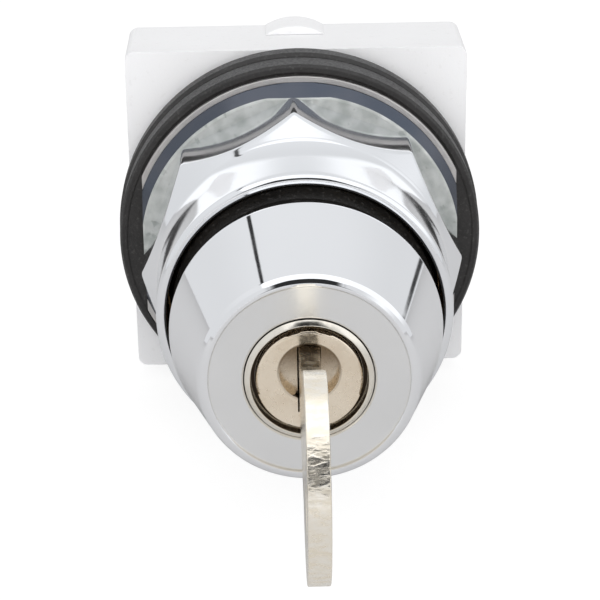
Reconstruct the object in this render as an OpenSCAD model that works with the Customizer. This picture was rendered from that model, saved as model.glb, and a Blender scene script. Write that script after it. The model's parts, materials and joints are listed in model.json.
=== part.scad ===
// Key-operated selector switch for a 30.5 mm panel hole, with two contact blocks.
// Millimetres. The key axis is Y, the front faces -Y, +Z is up.
// Origin: on the key axis, in the plane of the panel's front face.

/* [Panel] */
// Thickness of the panel that the switch is clamped to
panel_t = 3; // [2:0.5:4]
// Radius of the plain shoulder that locates the switch in the panel hole
shoulder_r = 15.1; // [15.08:0.01:15.15]

/* [Gaskets and washers] */
// Outer radius of the rear gasket
gasket_r = 22; // [21:0.1:23]
// Thickness of the rear gasket
rear_gasket_t = 2.9; // [2:0.1:4]
// Thickness of the front gasket
front_gasket_t = 4; // [3:0.1:5]
// Radius of the thin thrust washer
thrust_r = 20.6; // [20:0.1:21]
// Distance from the axis to the two side flats of both washers
washer_flat = 18.7; // [18:0.1:19]
// Thickness of the trim washer with the conical edge
trim_t = 2.1; // [1.5:0.1:3]

/* [Ring nut] */
// Radius across the corners of the octagon
nut_corner_r = 18.8; // [18.6:0.1:19.2]
// Turn of the octagon from corner-up, seen from the front
nut_clock = 2.0; // [0:0.1:45]
// Radius of the round collar in front of the octagon
collar_r = 16.7; // [16.5:0.05:17]
// Length of the whole nut
nut_l = 20.8; // [18:0.1:24]

/* [Lock head] */
// Largest radius of the conical head
head_r = 14.86; // [14:0.02:14.9]
// Outer radius of its front rim
head_front_r = 11.7; // [11:0.1:12.5]
// Distance from the panel's front face to the head's front face
head_reach = 46.9; // [45:0.1:50]
// Radius of the lock plug
plug_r = 5.5; // [5:0.1:5.8]

/* [Key] */
// Thickness of the key
key_t = 2.15; // [1.8:0.05:2.3]
// Radius of the round bow
bow_r = 9.9; // [9:0.1:11]
// Distance from the panel's front face to the centre of the bow
bow_reach = 69.6; // [66:0.1:72]
// Height of the centre of the bow above the axis of the blade
bow_lift = 1; // [0:0.1:2]

/* [Rear] */
// Width and height of the square mounting base
base_w = 41.7; // [40:0.1:44]
// Depth of the mounting base behind the panel
base_d = 11.5; // [11:0.1:12]
// Height of each contact block
block_h = 24; // [22:1:28]
// Depth of each contact block
block_d = 30; // [28:1:34]
// Distance from the axis to each plunger
plunger_x = 10.3; // [10:0.1:10.5]
// Plunger travel each way from the middle position
plunger_stroke = 1.5; // [1:0.1:1.6]

/* [Hidden] */
$fn = 96;
e = 0.02;
sides = [-1, 1];
turn_limit = 45;

// stations along the axis, from the panel forwards
gasket_split_y = -rear_gasket_t;
gasket_front_y = gasket_split_y - front_gasket_t;
thrust_t = 0.7;
thrust_front_y = gasket_front_y - thrust_t;
nut_rear_y = thrust_front_y - trim_t;
nut_front_y = nut_rear_y - nut_l;
nut_cone_y = nut_rear_y - 5.7;
nut_crease_y = nut_rear_y - 10.5;
head_front_y = -head_reach;
head_wide_y = head_front_y + 12.7;
head_rear_y = head_wide_y + 1.1;
face_y = head_front_y;

// radii of the barrel and what runs in it
thread_r = 14.9;
barrel_bore_r = 12.4;
barrel_front_y = -27.4;
neck_r = 12.3;
neck_rear_y = -13;
shell_r = 8.6;
shell_nose_r = 6.7;
shell_rear_y = -12;
plug_rear_y = -19.5;
plug_gap_r = 6.1;
run_gap = 0.06;
shaft_r = 3;
shaft_flat = 2.4;
shaft_rear_y = 15.8;
bush_flange_t = 2.4;

// lock wafers
wafer_n = 6;
wafer_pitch = 2.7;
wafer_t = 0.9;
wafer_first_y = -41;
wafer_w = 3.8;
wafer_h = 10.2;
wafer_drop = 0.9;

// rear assembly
base_front_y = panel_t;
base_rear_y = base_front_y + base_d;
base_wall = 2;
spigot_r = 15.4;
flange_r = 18;
flange_t = 2;
flange_front_y = base_front_y + base_wall;
flange_rear_y = flange_front_y + flange_t;
bush_hole_r = 6;
bush_step_y = -2;
base_plate_t = 2;
base_plate_y = base_rear_y - base_plate_t;
cam_front_y = flange_rear_y + 0.3;
cam_disc_t = 1.2;
cam_r = 12.8;
stop_lug_w = 2.8;
stop_lug_r = 14.4;
stop_peg_r = 1.2;
stop_peg_pitch_r = 14.2;
stop_angle = turn_limit + 11.8;
cam_steps = 27;
ramp_half = turn_limit + 9;
ramp_rate = plunger_stroke / turn_limit;
ramp_mid_y = cam_front_y + cam_disc_t + ramp_half * ramp_rate;
tip_gap = 0.45;
block_y = base_rear_y;
block_rear_y = block_y + block_d;
block_w = base_w / 2 - 0.5;
block_x = 0.2 + block_w / 2;
block_wall = 1.4;
cover_t = 2;
bridge_y = block_y + 9;
bridge_t = 1;
contact_gap = plunger_stroke + 0.06;
tip_r = 1.4;
tip_t = 0.5;
tip_z = 6;
strip_t = 0.8;
strip_y = bridge_y + bridge_t + tip_t + contact_gap;
terminal_z = 7.6;
terminal_y = block_rear_y - 7.5;
block_screw_z = 5.2;
block_screw_x = 5.6;

// ---- shapes turned about the key axis ----

module rod(r, y0, y1) {
    translate([0, y0, 0]) rotate([-90, 0, 0]) cylinder(r = r, h = y1 - y0);
}

module ring(ro, ri, y0, y1) {
    difference() {
        rod(ro, y0, y1);
        rod(ri, y0 - 1, y1 + 1);
    }
}

// points are [radius, distance along Y]
module turned(points) {
    rotate([-90, 0, 0]) rotate_extrude() polygon(points);
}

module box(low, high) {
    translate(low) cube(high - low);
}

// ---- operator, in front of the panel ----

module barrel() {
    color("darkgray") {
        difference() {
            turned([
                [0, barrel_front_y], [thread_r - 0.8, barrel_front_y], [thread_r, barrel_front_y + 0.8],
                [thread_r, 0], [shoulder_r, 0], [shoulder_r, base_front_y], [spigot_r, base_front_y],
                [spigot_r, flange_front_y], [flange_r, flange_front_y], [flange_r, flange_rear_y],
                [0, flange_rear_y]
            ]);
            rod(barrel_bore_r, barrel_front_y - 1, bush_step_y);
            rod(bush_hole_r, bush_step_y - 1, flange_rear_y + 1);
        }
        // two pegs that stop the cam's lug at the end positions
        for (side = sides) rotate([0, side * stop_angle, 0]) translate([0, 0, -stop_peg_pitch_r])
            rod(stop_peg_r, flange_rear_y - e, cam_front_y + cam_disc_t);
    }
}

module rear_gasket() {
    color("black") turned([
        [15.4, 0], [gasket_r - 0.4, 0], [gasket_r, -0.4], [gasket_r, gasket_split_y + 0.35],
        [gasket_r - 0.35, gasket_split_y], [15.4, gasket_split_y]
    ]);
}

module front_gasket() {
    edge_r = gasket_r - 0.15;
    color("black") turned([
        [15.4, gasket_split_y], [edge_r - 0.35, gasket_split_y], [edge_r, gasket_split_y - 0.35],
        [edge_r - 0.1, gasket_front_y + 0.7], [edge_r - 0.8, gasket_front_y], [15.4, gasket_front_y]
    ]);
}

module flatted(points) {
    intersection() {
        turned(points);
        box([-washer_flat, -60, -30], [washer_flat, 10, 30]);
    }
}

module thrust_washer() {
    color("silver") flatted([
        [15.3, gasket_front_y], [thrust_r, gasket_front_y], [thrust_r, thrust_front_y], [15.3, thrust_front_y]
    ]);
}

module trim_washer() {
    color("gray") flatted([
        [15.3, thrust_front_y], [thrust_r - 0.6, thrust_front_y], [thrust_r - 0.7, thrust_front_y - 0.2],
        [18.95, nut_rear_y + 0.15], [18.8, nut_rear_y], [15.3, nut_rear_y]
    ]);
}

module ring_nut() {
    crease_r = collar_r + 0.2;
    cone_grow = (nut_corner_r - crease_r) / (nut_cone_y - nut_crease_y);
    profile = [
        [10, nut_rear_y], [nut_corner_r + cone_grow, nut_rear_y], [nut_corner_r + cone_grow, nut_cone_y + 1],
        [crease_r, nut_crease_y], [collar_r - 0.1, nut_crease_y - 1.8], [collar_r - 0.2, nut_crease_y - 3.8],
        [collar_r - 0.25, nut_front_y + 1], [collar_r - 0.45, nut_front_y + 0.35], [collar_r - 0.9, nut_front_y],
        [10, nut_front_y]
    ];
    color("gainsboro") difference() {
        intersection() {
            rotate([0, -nut_clock, 0]) translate([0, nut_front_y - 1, 0]) rotate([-90, 0, 0])
                cylinder(r = nut_corner_r, h = nut_l + 2, $fn = 8);
            turned(profile);
        }
        rod(thread_r + run_gap, nut_rear_y - 14, nut_rear_y + 1);
        rod(15.3, nut_front_y - 1, nut_rear_y - 13.9);
    }
}

module dust_seal() {
    color("black") turned([
        [neck_r + 0.1, barrel_front_y], [14.7, barrel_front_y], [14.7, barrel_front_y - 1.4],
        [13.7, barrel_front_y - 2.6], [13.7, head_rear_y + 0.7], [neck_r + 0.1, head_rear_y + 0.7]
    ]);
}

// ---- lock head ----

module lock_bezel() {
    rim = 0.9;
    color("gainsboro") difference() {
        turned([
            [0, neck_rear_y], [neck_r, neck_rear_y], [neck_r, head_rear_y], [head_r - 0.9, head_rear_y],
            [head_r, head_wide_y + 0.1], [head_r, head_wide_y - 0.2],
            [head_front_r, head_front_y + rim], [head_front_r - 0.25, head_front_y + 0.25],
            [head_front_r - 0.7, head_front_y], [head_front_r - 0.85, head_front_y + 0.25],
            [shell_nose_r + 0.1, head_front_y + 0.4], [0, head_front_y + 0.4]
        ]);
        rod(shell_nose_r + 0.05, head_front_y - 1, 0);
        rod(shell_r + 0.05, head_front_y + 4, 0);
    }
}

module lock_shell() {
    color("darkkhaki") difference() {
        turned([
            [0, shell_rear_y], [shell_r, shell_rear_y], [shell_r, face_y + 4.05], [shell_nose_r, face_y + 4.05],
            [shell_nose_r, face_y + 0.45], [plug_gap_r + 0.1, face_y + 0.1], [0, face_y + 0.1]
        ]);
        rod(plug_gap_r, face_y - 1, face_y + 1.4);
        rod(plug_r + run_gap, face_y - 1, shell_rear_y + 1);
        // one groove for the dropped wafers at each key position
        for (a = [-turn_limit, 0, turn_limit])
            rotate([0, a, 0]) box([-2.05, face_y + 4.5, -6.75], [2.05, plug_rear_y - 1.5, 0]);
    }
}

module shell_nut() {
    color("goldenrod") ring(neck_r - 0.1, shell_r + 0.05, neck_rear_y, neck_rear_y + 2.2);
}

module wafer_place() {
    for (i = [0 : wafer_n - 1]) translate([0, wafer_first_y + i * wafer_pitch, 0]) children();
}

module lock_plug() {
    slot_half = key_t / 2 + 0.15;
    color("tan") difference() {
        turned([
            [0, plug_rear_y], [plug_r, plug_rear_y], [plug_r, face_y + 0.25],
            [plug_r - 0.25, face_y], [0, face_y]
        ]);
        // round pocket for the key's shoulder, a little above the axis
        translate([0, 0, 1]) rod(3.1, face_y - 1, face_y + 1.3);
        box([-slot_half, face_y - 1, -3.45], [slot_half, wafer_first_y + wafer_n * wafer_pitch, 3.74]);
        wafer_place() {
            box([-wafer_w / 2 - 0.05, -wafer_t / 2 - 0.05, -6], [wafer_w / 2 + 0.05, wafer_t / 2 + 0.05, 6]);
            box([0, -wafer_t / 2 - 0.05, -0.8], [3.45, wafer_t / 2 + 0.05, 3.95]);
        }
    }
}

module wafers() {
    window_half = key_t / 2 + 0.1;
    color("goldenrod") wafer_place() difference() {
        union() {
            box([-wafer_w / 2, -wafer_t / 2, -wafer_h / 2], [wafer_w / 2, wafer_t / 2, wafer_h / 2]);
            box([0, -wafer_t / 2, 0.3], [3.35, wafer_t / 2, 1.3]);
        }
        box([-window_half, -1, -3.4], [window_half, 1, 3.4]);
    }
}

module wafer_springs() {
    color("silver") wafer_place() translate([2.75, 0, 1.3]) difference() {
        cylinder(r = 0.42, h = 2.6, $fn = 24);
        translate([0, 0, -1]) cylinder(r = 0.22, h = 5, $fn = 24);
    }
}

module key() {
    bow_y = -bow_reach;
    blade_rear_y = wafer_first_y + wafer_n * wafer_pitch - 0.8;
    half = key_t / 2;
    color("wheat") difference() {
        union() {
            translate([-half, bow_y, bow_lift]) rotate([0, 90, 0]) cylinder(r = bow_r, h = key_t);
            // neck that widens into the bow, and the blade
            translate([-half, 0, 0]) rotate([90, 0, 90]) linear_extrude(height = key_t) polygon([
                [face_y + 0.9, -3.35], [face_y + 0.9, 3.6], [face_y - 5, 3.8], [bow_y + 9, 7.4],
                [bow_y + 4.2, 9.9], [bow_y, 8], [bow_y, -7], [bow_y + 7.3, -5.6], [face_y - 5, -3.8]
            ]);
            box([-half, face_y + 0.8, -3.2], [half, blade_rear_y - 1.4, 2.3]);
            translate([-half, 0, 0]) rotate([90, 0, 90]) linear_extrude(height = key_t) polygon([
                [blade_rear_y - 1.5, -3.2], [blade_rear_y - 1.5, 2.3], [blade_rear_y, 0.6], [blade_rear_y, -1.6]
            ]);
        }
        // ring hole near the far end of the bow
        translate([-5, bow_y - 4.4, 0]) rotate([0, 90, 0]) cylinder(r = 2.6, h = 10);
        // cuts in the upper edge, one above each wafer
        for (i = [0 : wafer_n - 1]) translate([0, wafer_first_y + i * wafer_pitch, 2.3])
            rotate([45, 0, 0]) cube([10, 0.9 + 0.25 * (i % 3), 0.9 + 0.25 * (i % 3)], center = true);
        // warding groove along the left side of the blade
        box([-half - 1, face_y + 2, -1.6], [-half + 0.45, blade_rear_y + 1, -0.5]);
    }
}

// ---- drive from the plug to the cam ----

module flatted_rod(r, flat, y0, y1) {
    intersection() {
        rod(r, y0, y1);
        box([-flat, y0 - 1, -r - 1], [flat, y1 + 1, r + 1]);
    }
}

module drive_shaft() {
    color("darkgray") difference() {
        union() {
            rod(5, plug_rear_y, plug_rear_y + 3);
            rod(shaft_r, plug_rear_y + 2.9, flange_rear_y);
            flatted_rod(shaft_r, shaft_flat, cam_front_y - 0.4, shaft_rear_y);
        }
        ring(shaft_r + 1, shaft_r - 0.5, base_plate_y + 2.3, base_plate_y + 2.9);
    }
}

module shaft_bush() {
    color("ivory") difference() {
        union() {
            rod(bush_hole_r - 0.05, bush_step_y - e, flange_rear_y);
            rod(8, bush_step_y - bush_flange_t, bush_step_y);
        }
        rod(shaft_r + run_gap, -10, 20);
    }
}

module shaft_seal() {
    tube_r = 1.1;
    color("black") rotate([-90, 0, 0]) translate([0, 0, bush_step_y - bush_flange_t - tube_r])
        rotate_extrude() translate([shaft_r + 0.08 + tube_r, 0]) circle(r = tube_r, $fn = 32);
}

module shaft_clip() {
    y0 = base_plate_y + 2.35;
    color("dimgray") difference() {
        rod(5.2, y0, y0 + 0.5);
        rod(shaft_r - 0.45, y0 - 1, y0 + 2);
        box([-1.6, y0 - 1, -8], [1.6, y0 + 2, 0]);
    }
}

module selector_cam() {
    step = 2 * ramp_half / cam_steps;
    color("orange") difference() {
        union() {
            rod(cam_r, cam_front_y, cam_front_y + cam_disc_t);
            rod(5.5, cam_front_y, base_plate_y - 0.3);
            // stop lug, below the axis
            box([-stop_lug_w / 2, cam_front_y, -stop_lug_r], [stop_lug_w / 2, cam_front_y + cam_disc_t, 1 - cam_r]);
            // two ramps of nested sectors: turning the key pushes one plunger in and lets the other out
            for (side = sides, i = [0 : cam_steps - 1]) {
                from = -ramp_half + i * step;
                rise = (i + 0.5) * step * ramp_rate;
                translate([0, cam_front_y + 0.5, 0]) rotate([0, side > 0 ? -from : 180 + ramp_half, 0])
                    rotate([-90, 0, 0]) rotate_extrude(angle = from - ramp_half)
                    translate([cam_r - 4.9, 0]) square([4.2, cam_disc_t - 0.5 + rise]);
            }
        }
        flatted_rod(shaft_r + 0.04, shaft_flat + 0.04, cam_front_y - 1, base_rear_y);
        // detent notches for the three key positions, above the axis
        for (a = [-turn_limit, 0, turn_limit]) rotate([0, a, 0])
            translate([0, 0, cam_r + 0.5]) rod(1.7, cam_front_y - 1, cam_front_y + cam_disc_t + 0.01);
    }
}

module detent_leaf() {
    y0 = cam_front_y + 0.1;
    y1 = cam_front_y + 1.1;
    color("lightsteelblue") {
        box([-9.8, y0, 14.3], [-1.2, y1, 14.7]);
        box([1.2, y0, 14.3], [9.8, y1, 14.7]);
        translate([0, y0, 14.15]) rotate([-90, 0, 0]) difference() {
            cylinder(r = 1.5, h = y1 - y0);
            translate([0, 0, -1]) cylinder(r = 1.1, h = 3);
            translate([-3, -3.6, -1]) cube([6, 3, 4]);
        }
    }
}

module detent_pins() {
    color("silver") for (side = sides) translate([side * 6.2, 0, 15.65])
        rod(0.9, flange_rear_y, base_plate_y);
}

// ---- mounting base behind the panel ----

module corner_places(d) {
    for (x = sides, z = sides) translate([x * d, 0, z * d]) children();
}

module rounded_slab(w, h, r, y0, y1) {
    difference() {
        box([-w / 2, y0, -h / 2], [w / 2, y1, h / 2]);
        for (x = sides, z = sides) translate([x * (w / 2 - r), y0 - 1, z * (h / 2 - r)]) {
            rotate([-90, 0, 0]) difference() {
                translate([x > 0 ? 0 : -r - 1, z > 0 ? -r - 1 : 0, 0]) cube([r + 1, r + 1, y1 - y0 + 2]);
                translate([0, 0, -1]) cylinder(r = r, h = y1 - y0 + 4, $fn = 48);
            }
        }
    }
}

module mounting_base() {
    color("whitesmoke") difference() {
        rounded_slab(base_w, base_w, 1.2, base_front_y, base_rear_y);
        rod(spigot_r + 0.05, base_front_y - 1, flange_front_y + 1);
        rod(flange_r + 0.1, flange_front_y, base_rear_y + 1);
        box([-18.4, base_plate_y, -18.4], [18.4, base_rear_y + 1, 18.4]);
        corner_places(16.4) rod(1.2, base_plate_y - 4, base_plate_y + 1);
    }
}

module base_plate() {
    color("gainsboro") difference() {
        box([-18.35, base_plate_y, -18.35], [18.35, base_rear_y, 18.35]);
        rod(shaft_r + 0.3, base_plate_y - 1, base_rear_y + 1);
        for (side = sides) translate([side * plunger_x, 0, 0]) rod(1.7, base_plate_y - 1, base_rear_y + 1);
        corner_places(16.4) rod(1.6, base_plate_y - 1, base_rear_y + 1);
        for (x = sides, z = sides) translate([x * (block_x + block_screw_x), 0, z * block_screw_z])
            rod(1.3, base_plate_y - 1, base_rear_y + 1);
    }
}

module base_screws() {
    color("silver") corner_places(16.4) difference() {
        union() {
            rod(1.15, base_plate_y - 3.5, base_plate_y + 1);
            rod(1.55, base_plate_y + 0.9, base_rear_y - 0.1);
        }
        box([-2, base_rear_y - 0.6, -0.25], [2, base_rear_y + 1, 0.25]);
    }
}

module locating_lug() {
    lug_r = 6.8;
    color("whitesmoke") intersection() {
        translate([0, 0, base_w / 2 + 1.1 - lug_r]) rod(lug_r, base_rear_y - 5, base_rear_y);
        box([-10, 0, base_w / 2], [10, 40, 40]);
    }
}

// ---- contact blocks: side is -1 for the left one, 1 for the right one ----

module housing(side) {
    x0 = side * block_x;
    color("whitesmoke") difference() {
        translate([x0, 0, 0]) rounded_slab(block_w, block_h, 0.8, block_y, block_rear_y);
        translate([x0, 0, 0])
            box([-block_w / 2 + block_wall, block_y + 3, -block_h / 2 + block_wall],
                [block_w / 2 - block_wall, block_rear_y + 1, block_h / 2 - block_wall]);
        translate([side * plunger_x, 0, 0]) rod(1.7, block_y - 1, block_y + 4);
        for (z = sides) {
            translate([x0 + side * block_screw_x, 0, z * block_screw_z]) rod(1.6, block_y - 1, block_y + 4);
            // wire entry at each end of the block
            translate([x0, terminal_y + 2.2, z > 0 ? block_h / 2 - block_wall - 1 : -block_h / 2 - 1])
                cylinder(r = 1.9, h = block_wall + 2);
        }
        // room for the shaft's end and its clip
        rod(shaft_r + 2.6, block_y - 1, block_y + 2.5);
    }
}

module cover(side) {
    x0 = side * block_x;
    color("gainsboro") difference() {
        translate([x0, 0, 0])
            box([-block_w / 2 + block_wall + 0.05, block_rear_y - cover_t, -block_h / 2 + block_wall + 0.05],
                [block_w / 2 - block_wall - 0.05, block_rear_y, block_h / 2 - block_wall - 0.05]);
        for (z = sides) {
            translate([x0, 0, z * terminal_z]) rod(2.4, block_rear_y - 5, block_rear_y + 1);
            translate([x0 + side * block_screw_x, 0, z * block_screw_z])
                rod(1.6, block_rear_y - 5, block_rear_y + 1);
        }
        translate([side * plunger_x, 0, 0]) rod(1.4, block_rear_y - 5, block_rear_y + 1);
    }
}

module plunger(side) {
    color("tomato") translate([side * plunger_x, 0, 0]) {
        turned([
            [0, ramp_mid_y + tip_gap], [0.6, ramp_mid_y + tip_gap], [1.2, ramp_mid_y + tip_gap + 0.6],
            [1.5, ramp_mid_y + tip_gap + 1.4], [1.5, bridge_y - 2], [2.6, bridge_y - 2], [2.6, bridge_y - 0.6],
            [1.2, bridge_y - 0.6], [1.2, bridge_y + 4.8], [2.6, bridge_y + 4.8], [2.6, bridge_y + 5.8],
            [1.1, bridge_y + 5.8], [1.1, block_rear_y - 0.6], [0, block_rear_y - 0.6]
        ]);
    }
}

module bridge(side) {
    color("peru") translate([side * plunger_x, 0, 0]) {
        difference() {
            box([-2.2, bridge_y, -7.6], [2.2, bridge_y + bridge_t, 7.6]);
            rod(1.25, bridge_y - 1, bridge_y + 2);
        }
        for (z = sides) translate([0, 0, z * tip_z])
            rod(tip_r, bridge_y + bridge_t, bridge_y + bridge_t + tip_t);
    }
}

module bridge_spring(side) {
    color("silver") translate([side * plunger_x, 0, 0])
        ring(2.2, 1.6, bridge_y + bridge_t + 0.05, bridge_y + 4.75);
}

module return_spring(side) {
    color("silver") translate([side * plunger_x, 0, 0])
        ring(2.5, 1.9, bridge_y + 5.85, block_rear_y - cover_t - 0.05);
}

// A box on one side of the XY plane: heights z0 to z1, above it for z = 1 and below it for z = -1
module plate(x0, w, y0, y1, z, z0, z1) {
    box([x0 - w / 2, y0, z > 0 ? z0 : -z1], [x0 + w / 2, y1, z > 0 ? z1 : -z0]);
}

// Each strip runs from a fixed contact tip, along the wall, to a terminal plate.
module terminals(side) {
    plate_y = strip_y + tip_t;
    wall_z = block_h / 2 - block_wall - 0.05;
    color("goldenrod") for (z = sides) {
        translate([side * plunger_x, 0, z * tip_z]) rod(tip_r, strip_y, plate_y);
        plate(side * plunger_x, 4.4, plate_y, plate_y + strip_t, z, 4.6, wall_z);
        plate(side * plunger_x, 4.4, plate_y, terminal_y + strip_t, z, wall_z - strip_t, wall_z);
        difference() {
            plate(side * block_x, 6.8, terminal_y, terminal_y + strip_t, z, 4.4, wall_z);
            translate([side * block_x, 0, z * terminal_z]) rod(1.3, terminal_y - 1, terminal_y + 2);
        }
    }
}

module clamps(side) {
    color("silver") for (z = sides) difference() {
        box([side * block_x - 3, terminal_y + 3.4, z * terminal_z - 2.2],
            [side * block_x + 3, terminal_y + 4.1, z * terminal_z + 2.2]);
        translate([side * block_x, 0, z * terminal_z]) rod(1.35, terminal_y, terminal_y + 6);
    }
}

module terminal_screws() {
    color("silver") for (side = sides, z = sides) translate([side * block_x, 0, z * terminal_z]) difference() {
        union() {
            rod(1.25, terminal_y - 2, terminal_y + 4.2);
            rod(2.2, terminal_y + 4.15, terminal_y + 6.2);
        }
        box([-3, terminal_y + 5.5, -0.3], [3, terminal_y + 8, 0.3]);
        box([-0.3, terminal_y + 5.5, -1.4], [0.3, terminal_y + 8, 1.4]);
    }
}

module block_screws() {
    color("silver") for (side = sides, z = sides)
        translate([side * (block_x + block_screw_x), 0, z * block_screw_z]) difference() {
            union() {
                rod(1.25, base_plate_y + 0.3, block_rear_y - 0.5);
                rod(2.4, block_rear_y + 0.05, block_rear_y + 1.8);
                rod(1.55, block_rear_y - 2, block_rear_y + 0.1);
            }
            box([-3, block_rear_y + 1.2, -0.35], [3, block_rear_y + 3, 0.35]);
        }
}

barrel();
rear_gasket();
front_gasket();
thrust_washer();
trim_washer();
ring_nut();
dust_seal();
lock_bezel();
lock_shell();
shell_nut();
lock_plug();
wafers();
wafer_springs();
key();
drive_shaft();
shaft_bush();
shaft_seal();
shaft_clip();
selector_cam();
detent_leaf();
detent_pins();
mounting_base();
base_plate();
base_screws();
locating_lug();
housing(-1);  // left_housing
housing(1);  // right_housing
cover(-1);  // left_cover
cover(1);  // right_cover
plunger(-1);  // left_plunger
plunger(1);  // right_plunger
return_spring(-1);  // left_spring
return_spring(1);  // right_spring
bridge(-1);  // left_bridge
bridge(1);  // right_bridge
bridge_spring(-1);  // left_bridge_spring
bridge_spring(1);  // right_bridge_spring
terminals(-1);  // left_terminals
terminals(1);  // right_terminals
clamps(-1);  // left_clamps
clamps(1);  // right_clamps
terminal_screws();
block_screws();
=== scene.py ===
import json
import math
import bmesh
import bpy
from mathutils import Matrix, Vector

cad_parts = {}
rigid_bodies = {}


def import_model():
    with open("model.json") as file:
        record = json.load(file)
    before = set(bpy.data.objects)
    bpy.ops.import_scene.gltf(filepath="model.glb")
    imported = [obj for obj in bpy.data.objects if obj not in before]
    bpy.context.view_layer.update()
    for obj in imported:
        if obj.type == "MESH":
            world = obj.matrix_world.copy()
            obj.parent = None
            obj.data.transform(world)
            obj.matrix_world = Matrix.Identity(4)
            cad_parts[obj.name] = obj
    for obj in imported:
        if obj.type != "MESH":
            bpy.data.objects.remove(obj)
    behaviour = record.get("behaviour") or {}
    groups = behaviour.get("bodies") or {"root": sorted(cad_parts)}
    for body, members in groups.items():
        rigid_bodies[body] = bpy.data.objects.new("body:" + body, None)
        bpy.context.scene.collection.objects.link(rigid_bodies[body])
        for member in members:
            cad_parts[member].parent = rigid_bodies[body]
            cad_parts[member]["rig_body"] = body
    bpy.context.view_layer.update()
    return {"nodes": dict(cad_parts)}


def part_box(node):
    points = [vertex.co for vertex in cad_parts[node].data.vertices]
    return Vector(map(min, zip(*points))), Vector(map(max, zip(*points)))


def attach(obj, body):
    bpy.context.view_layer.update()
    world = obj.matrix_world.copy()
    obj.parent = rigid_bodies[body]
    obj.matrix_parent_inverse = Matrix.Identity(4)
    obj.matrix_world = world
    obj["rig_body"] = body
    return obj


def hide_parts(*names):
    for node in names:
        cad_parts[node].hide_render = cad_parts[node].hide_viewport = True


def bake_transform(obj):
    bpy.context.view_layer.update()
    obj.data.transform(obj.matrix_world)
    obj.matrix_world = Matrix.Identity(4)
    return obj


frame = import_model()


# ---- Barrel ----
# The operator's body: a die-cast zinc tube that goes through the panel from behind. It has a rolled
# thread in front, a plain shoulder where the panel sits, and a flange that seats in the mounting base.

MM = 0.001


def rounded_outline(points, corner, ring):
    """Rounds the corners of an outline of (radius, place along Y) points in mm, and adds outward normals."""
    area = sum(a[0] * b[1] - b[0] * a[1] for a, b in zip(points, points[1:] + points[:1]))
    side = 1 if area > 0 else -1
    count = len(points)
    made = []
    for i, (r, y) in enumerate(points):
        last, after = points[i - 1], points[(i + 1) % count]
        into = Vector((r - last[0], y - last[1]))
        out = Vector((after[0] - r, after[1] - y))
        if not ring and i in (0, count - 1):
            edge = out if i == 0 else into
            normal = Vector((edge.y, -edge.x)).normalized() * side
            made.append((r, y, normal.x, normal.y))
            continue
        first = Vector((into.y, -into.x)).normalized() * side
        second = Vector((out.y, -out.x)).normalized() * side
        bend = math.atan2(first.x * second.y - first.y * second.x, first.dot(second))
        if abs(bend) < math.radians(12):
            middle = (first + second).normalized()
            made.append((r, y, middle.x, middle.y))
            continue
        reach = min(corner * math.tan(abs(bend) / 2), 0.45 * into.length, 0.45 * out.length)
        radius = reach / math.tan(abs(bend) / 2)
        bulge = 1 if bend * side > 0 else -1
        start = Vector((r, y)) - into.normalized() * reach
        centre = start - first * radius * bulge
        parts = max(2, math.ceil(abs(bend) / math.radians(18)))
        for k in range(parts + 1):
            turn = bend * k / parts
            normal = Vector((first.x * math.cos(turn) - first.y * math.sin(turn),
                             first.x * math.sin(turn) + first.y * math.cos(turn)))
            spot = centre + normal * radius * bulge
            made.append((spot.x, spot.y, normal.x, normal.y))
    return made


def new_piece(name, mesh):
    """Puts a mesh in the scene as an object of its own at the origin."""
    piece = bpy.data.objects.new(name, mesh)
    bpy.context.scene.collection.objects.link(piece)
    return piece


def settled(piece):
    """Makes a piece's modifiers part of its plain mesh."""
    bpy.context.view_layer.update()
    evaluated = piece.evaluated_get(bpy.context.evaluated_depsgraph_get())
    baked = bpy.data.meshes.new_from_object(evaluated)
    piece.modifiers.clear()
    piece.data = baked
    return piece


def turned(name, points, corner=0.12, ring=True, steps=192, paint=None):
    """A piece turned about the key axis. paint(radius, place) gives the number of a face's material."""
    samples = rounded_outline(points, corner, ring)
    spots, normals, rows = [], [], []
    for r, y, out, along in samples:
        if r < 1e-6:
            rows.append([len(spots)] * steps)
            spots.append((0, y * MM, 0))
            normals.append((0, math.copysign(1, along), 0))
            continue
        rows.append(list(range(len(spots), len(spots) + steps)))
        for j in range(steps):
            a = 2 * math.pi * j / steps
            spots.append((r * math.sin(a) * MM, y * MM, r * math.cos(a) * MM))
            normals.append((out * math.sin(a), along, out * math.cos(a)))
    area = sum(a[0] * b[1] - b[0] * a[1] for a, b in zip(samples, samples[1:] + samples[:1]))
    faces, paints = [], []
    for i in range(len(rows) if ring else len(rows) - 1):
        low, high = rows[i], rows[(i + 1) % len(rows)]
        here, there = samples[i], samples[(i + 1) % len(rows)]
        colour = paint((here[0] + there[0]) / 2, (here[1] + there[1]) / 2) if paint else 0
        for j in range(steps):
            k = (j + 1) % steps
            face = [low[j], high[j], high[k], low[k]] if area < 0 else [low[j], low[k], high[k], high[j]]
            face = [v for n, v in enumerate(face) if v != face[n - 1]]
            if len(face) > 2:
                faces.append(face)
                paints.append(colour)
    mesh = bpy.data.meshes.new(name)
    mesh.from_pydata(spots, [], faces)
    mesh.polygons.foreach_set("material_index", paints)
    mesh.shade_smooth()
    mesh.normals_split_custom_set_from_vertices(normals)
    return new_piece(name, mesh)


def new_effect(name, inputs):
    """An empty shader group with these inputs and one output, Mask."""
    tree = bpy.data.node_groups.new(name, "ShaderNodeTree")
    for label, value in inputs.items():
        kind = "NodeSocketVector" if isinstance(value, tuple) else "NodeSocketFloat"
        tree.interface.new_socket(label, in_out="INPUT", socket_type=kind).default_value = value
    tree.interface.new_socket("Mask", in_out="OUTPUT", socket_type="NodeSocketFloat")
    return tree, tree.nodes.new("NodeGroupInput"), tree.nodes.new("NodeGroupOutput")


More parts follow.
